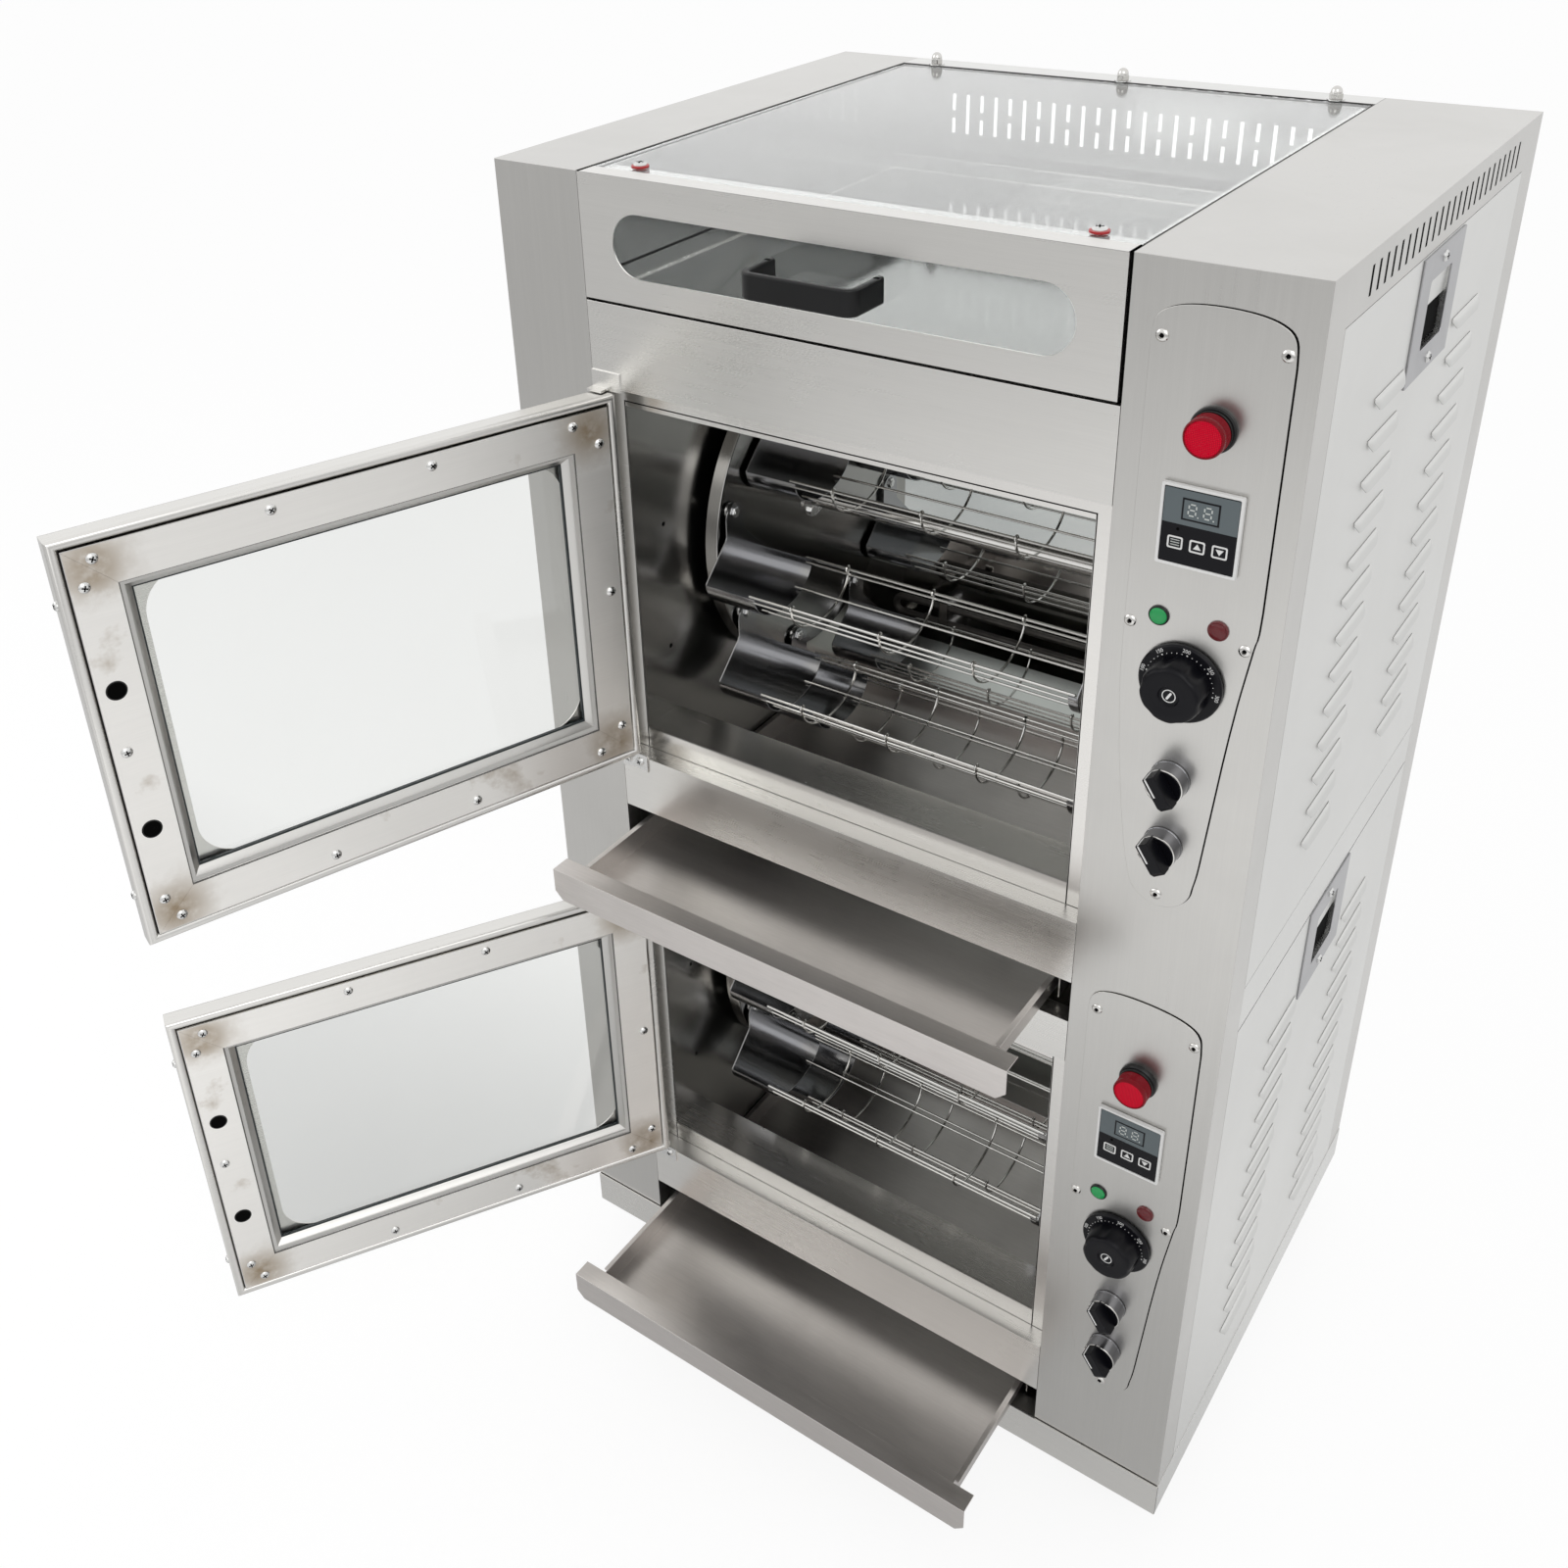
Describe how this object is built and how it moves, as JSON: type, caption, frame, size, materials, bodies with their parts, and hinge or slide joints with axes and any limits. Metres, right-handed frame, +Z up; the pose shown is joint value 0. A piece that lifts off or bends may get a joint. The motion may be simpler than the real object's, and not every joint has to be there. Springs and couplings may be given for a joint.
{
  "type": "sweet potato roaster",
  "caption": "Free-standing two-deck drum roaster with hanging wire baskets, hinged glass doors, pull-out trays, control column and a glass-topped display drawer on casters.",
  "frame": {"origin": "centre of the pressed underside of the base pan", "axes": "+X to the right seen from the front, +Y to the back, +Z up"},
  "size_m": [0.8818, 1.0092, 1.304],
  "materials": {
    "brushed_steel": "satin",
    "panel_steel": "satin",
    "mirror_steel": "bright",
    "bright_wire": "polished",
    "black_plastic": "satin",
    "switch_lever": "gloss",
    "motor_casting": "satin",
    "glass": "clear",
    "wheel_tread": "matte"
  },
  "bodies": {
    "cabinet": {"base_frame": "brushed_steel", "left_side_frame": "brushed_steel", "right_side_frame": "brushed_steel", "left_side_panel": "panel_steel", "right_side_panel": "panel_steel", "rear_panel": "panel_steel", "display_well": "panel_steel", "top_glass": "glass", "upper_fascia": "brushed_steel", "middle_fascia": "brushed_steel", "upper_apron": "brushed_steel", "lower_apron": "brushed_steel", "lower_oven_liner": "mirror_steel", "lower_gear_motor": "motor_casting", "lower_control_panel": "panel_steel", "lower_timer": "black_plastic", "upper_oven_liner": "mirror_steel", "upper_gear_motor": "motor_casting", "upper_control_panel": "panel_steel", "upper_timer": "black_plastic"},
    "drawer": {"drawer_front": "brushed_steel", "drawer_window": "glass", "drawer_handle": "black_plastic"},
    "lower_door": {"lower_door_frame": "brushed_steel", "lower_door_glass": "glass"},
    "lower_tray": {"lower_tray": "brushed_steel"},
    "lower_drum": {"lower_drum": "mirror_steel"},
    "lower_basket_1": {"lower_basket_1": "bright_wire"},
    "lower_basket_2": {"lower_basket_2": "bright_wire"},
    "lower_basket_3": {"lower_basket_3": "bright_wire"},
    "lower_basket_4": {"lower_basket_4": "bright_wire"},
    "lower_basket_5": {"lower_basket_5": "bright_wire"},
    "lower_basket_6": {"lower_basket_6": "bright_wire"},
    "lower_basket_7": {"lower_basket_7": "bright_wire"},
    "lower_basket_8": {"lower_basket_8": "bright_wire"},
    "lower_thermostat": {"lower_thermostat_knob": "black_plastic"},
    "lower_selector_1": {"lower_selector_1": "switch_lever"},
    "lower_selector_2": {"lower_selector_2": "switch_lever"},
    "upper_door": {"upper_door_frame": "brushed_steel", "upper_door_glass": "glass"},
    "upper_tray": {"upper_tray": "brushed_steel"},
    "upper_drum": {"upper_drum": "mirror_steel"},
    "upper_basket_1": {"upper_basket_1": "bright_wire"},
    "upper_basket_2": {"upper_basket_2": "bright_wire"},
    "upper_basket_3": {"upper_basket_3": "bright_wire"},
    "upper_basket_4": {"upper_basket_4": "bright_wire"},
    "upper_basket_5": {"upper_basket_5": "bright_wire"},
    "upper_basket_6": {"upper_basket_6": "bright_wire"},
    "upper_basket_7": {"upper_basket_7": "bright_wire"},
    "upper_basket_8": {"upper_basket_8": "bright_wire"},
    "upper_thermostat": {"upper_thermostat_knob": "black_plastic"},
    "upper_selector_1": {"upper_selector_1": "switch_lever"},
    "upper_selector_2": {"upper_selector_2": "switch_lever"},
    "front_left_caster": {"front_left_caster_fork": "brushed_steel"},
    "front_left_wheel": {"front_left_wheel": "wheel_tread"},
    "rear_left_wheel": {"rear_left_wheel": "wheel_tread"},
    "front_right_caster": {"front_right_caster_fork": "brushed_steel"},
    "front_right_wheel": {"front_right_wheel": "wheel_tread"},
    "rear_right_wheel": {"rear_right_wheel": "wheel_tread"}
  },
  "joints": [
    {"name": "drawer_slide", "type": "slide", "parent": "cabinet", "child": "drawer", "axis": [0, -1, 0], "range_m": [0, 0.38]},
    {"name": "lower_door_hinge", "type": "hinge", "parent": "cabinet", "child": "lower_door", "pos_m": [-0.2505, -0.2776, 0.3375], "axis": [0, 0, -1], "range_deg": [-121.5, 2]},
    {"name": "lower_tray_slide", "type": "slide", "parent": "cabinet", "child": "lower_tray", "axis": [0, -1, 0], "range_m": [-0.146, 0.146]},
    {"name": "lower_drum_spin", "type": "hinge", "parent": "cabinet", "child": "lower_drum", "pos_m": [-0.0205, 0, 0.324], "axis": [1, 0, 0], "continuous": true},
    {"name": "lower_basket_1_hang", "type": "hinge", "parent": "lower_drum", "child": "lower_basket_1", "pos_m": [-0.0205, 0.14004, 0.37776], "axis": [1, 0, 0], "continuous": true},
    {"name": "lower_basket_2_hang", "type": "hinge", "parent": "lower_drum", "child": "lower_basket_2", "pos_m": [-0.0205, 0.06101, 0.46103], "axis": [1, 0, 0], "continuous": true},
    {"name": "lower_basket_3_hang", "type": "hinge", "parent": "lower_drum", "child": "lower_basket_3", "pos_m": [-0.0205, -0.05376, 0.46404], "axis": [1, 0, 0], "continuous": true},
    {"name": "lower_basket_4_hang", "type": "hinge", "parent": "lower_drum", "child": "lower_basket_4", "pos_m": [-0.0205, -0.13703, 0.38501], "axis": [1, 0, 0], "continuous": true},
    {"name": "lower_basket_5_hang", "type": "hinge", "parent": "lower_drum", "child": "lower_basket_5", "pos_m": [-0.0205, -0.14004, 0.27024], "axis": [1, 0, 0], "continuous": true},
    {"name": "lower_basket_6_hang", "type": "hinge", "parent": "lower_drum", "child": "lower_basket_6", "pos_m": [-0.0205, -0.06101, 0.18697], "axis": [1, 0, 0], "continuous": true},
    {"name": "lower_basket_7_hang", "type": "hinge", "parent": "lower_drum", "child": "lower_basket_7", "pos_m": [-0.0205, 0.05376, 0.18396], "axis": [1, 0, 0], "continuous": true},
    {"name": "lower_basket_8_hang", "type": "hinge", "parent": "lower_drum", "child": "lower_basket_8", "pos_m": [-0.0205, 0.13703, 0.26299], "axis": [1, 0, 0], "continuous": true},
    {"name": "lower_thermostat_turn", "type": "hinge", "parent": "cabinet", "child": "lower_thermostat", "pos_m": [0.2835, -0.277, 0.345], "axis": [0, -1, 0], "range_deg": [-160, 95]},
    {"name": "lower_selector_1_turn", "type": "hinge", "parent": "cabinet", "child": "lower_selector_1", "pos_m": [0.2835, -0.277, 0.2605], "axis": [0, -1, 0], "range_deg": [0, 90]},
    {"name": "lower_selector_2_turn", "type": "hinge", "parent": "cabinet", "child": "lower_selector_2", "pos_m": [0.2835, -0.277, 0.2], "axis": [0, -1, 0], "range_deg": [0, 90]},
    {"name": "upper_door_hinge", "type": "hinge", "parent": "cabinet", "child": "upper_door", "pos_m": [-0.2505, -0.2776, 0.8655], "axis": [0, 0, -1], "range_deg": [-110.2, 13]},
    {"name": "upper_tray_slide", "type": "slide", "parent": "cabinet", "child": "upper_tray", "axis": [0, -1, 0], "range_m": [-0.112, 0.18]},
    {"name": "upper_drum_spin", "type": "hinge", "parent": "cabinet", "child": "upper_drum", "pos_m": [-0.0205, 0, 0.852], "axis": [1, 0, 0], "continuous": true},
    {"name": "upper_basket_1_hang", "type": "hinge", "parent": "upper_drum", "child": "upper_basket_1", "pos_m": [-0.0205, 0.13042, 0.92609], "axis": [1, 0, 0], "continuous": true},
    {"name": "upper_basket_2_hang", "type": "hinge", "parent": "upper_drum", "child": "upper_basket_2", "pos_m": [-0.0205, 0.03983, 0.99661], "axis": [1, 0, 0], "continuous": true},
    {"name": "upper_basket_3_hang", "type": "hinge", "parent": "upper_drum", "child": "upper_basket_3", "pos_m": [-0.0205, -0.07409, 0.98242], "axis": [1, 0, 0], "continuous": true},
    {"name": "upper_basket_4_hang", "type": "hinge", "parent": "upper_drum", "child": "upper_basket_4", "pos_m": [-0.0205, -0.14461, 0.89183], "axis": [1, 0, 0], "continuous": true},
    {"name": "upper_basket_5_hang", "type": "hinge", "parent": "upper_drum", "child": "upper_basket_5", "pos_m": [-0.0205, -0.13042, 0.77791], "axis": [1, 0, 0], "continuous": true},
    {"name": "upper_basket_6_hang", "type": "hinge", "parent": "upper_drum", "child": "upper_basket_6", "pos_m": [-0.0205, -0.03983, 0.70739], "axis": [1, 0, 0], "continuous": true},
    {"name": "upper_basket_7_hang", "type": "hinge", "parent": "upper_drum", "child": "upper_basket_7", "pos_m": [-0.0205, 0.07409, 0.72158], "axis": [1, 0, 0], "continuous": true},
    {"name": "upper_basket_8_hang", "type": "hinge", "parent": "upper_drum", "child": "upper_basket_8", "pos_m": [-0.0205, 0.14461, 0.81217], "axis": [1, 0, 0], "continuous": true},
    {"name": "upper_thermostat_turn", "type": "hinge", "parent": "cabinet", "child": "upper_thermostat", "pos_m": [0.2835, -0.277, 0.93], "axis": [0, -1, 0], "range_deg": [-160, 95]},
    {"name": "upper_selector_1_turn", "type": "hinge", "parent": "cabinet", "child": "upper_selector_1", "pos_m": [0.2835, -0.277, 0.8455], "axis": [0, -1, 0], "range_deg": [0, 90]},
    {"name": "upper_selector_2_turn", "type": "hinge", "parent": "cabinet", "child": "upper_selector_2", "pos_m": [0.2835, -0.277, 0.785], "axis": [0, -1, 0], "range_deg": [0, 90]},
    {"name": "front_left_swivel", "type": "hinge", "parent": "cabinet", "child": "front_left_caster", "pos_m": [-0.298, -0.219, -0.01], "axis": [0, 0, 1], "continuous": true},
    {"name": "front_left_wheel_roll", "type": "hinge", "parent": "front_left_caster", "child": "front_left_wheel", "pos_m": [-0.298, -0.201, -0.043], "axis": [1, 0, 0], "continuous": true},
    {"name": "rear_left_wheel_roll", "type": "hinge", "parent": "cabinet", "child": "rear_left_wheel", "pos_m": [-0.298, 0.219, -0.043], "axis": [1, 0, 0], "continuous": true},
    {"name": "front_right_swivel", "type": "hinge", "parent": "cabinet", "child": "front_right_caster", "pos_m": [0.298, -0.219, -0.01], "axis": [0, 0, 1], "continuous": true},
    {"name": "front_right_wheel_roll", "type": "hinge", "parent": "front_right_caster", "child": "front_right_wheel", "pos_m": [0.298, -0.201, -0.043], "axis": [1, 0, 0], "continuous": true},
    {"name": "rear_right_wheel_roll", "type": "hinge", "parent": "cabinet", "child": "rear_right_wheel", "pos_m": [0.298, 0.219, -0.043], "axis": [1, 0, 0], "continuous": true}
  ],
  "couplings": [
    {"joint": "lower_basket_1_hang", "follows": "lower_drum_spin", "ratio": -1},
    {"joint": "lower_basket_2_hang", "follows": "lower_drum_spin", "ratio": -1},
    {"joint": "lower_basket_3_hang", "follows": "lower_drum_spin", "ratio": -1},
    {"joint": "lower_basket_4_hang", "follows": "lower_drum_spin", "ratio": -1},
    {"joint": "lower_basket_5_hang", "follows": "lower_drum_spin", "ratio": -1},
    {"joint": "lower_basket_6_hang", "follows": "lower_drum_spin", "ratio": -1},
    {"joint": "lower_basket_7_hang", "follows": "lower_drum_spin", "ratio": -1},
    {"joint": "lower_basket_8_hang", "follows": "lower_drum_spin", "ratio": -1},
    {"joint": "upper_basket_1_hang", "follows": "upper_drum_spin", "ratio": -1},
    {"joint": "upper_basket_2_hang", "follows": "upper_drum_spin", "ratio": -1},
    {"joint": "upper_basket_3_hang", "follows": "upper_drum_spin", "ratio": -1},
    {"joint": "upper_basket_4_hang", "follows": "upper_drum_spin", "ratio": -1},
    {"joint": "upper_basket_5_hang", "follows": "upper_drum_spin", "ratio": -1},
    {"joint": "upper_basket_6_hang", "follows": "upper_drum_spin", "ratio": -1},
    {"joint": "upper_basket_7_hang", "follows": "upper_drum_spin", "ratio": -1},
    {"joint": "upper_basket_8_hang", "follows": "upper_drum_spin", "ratio": -1}
  ]
}
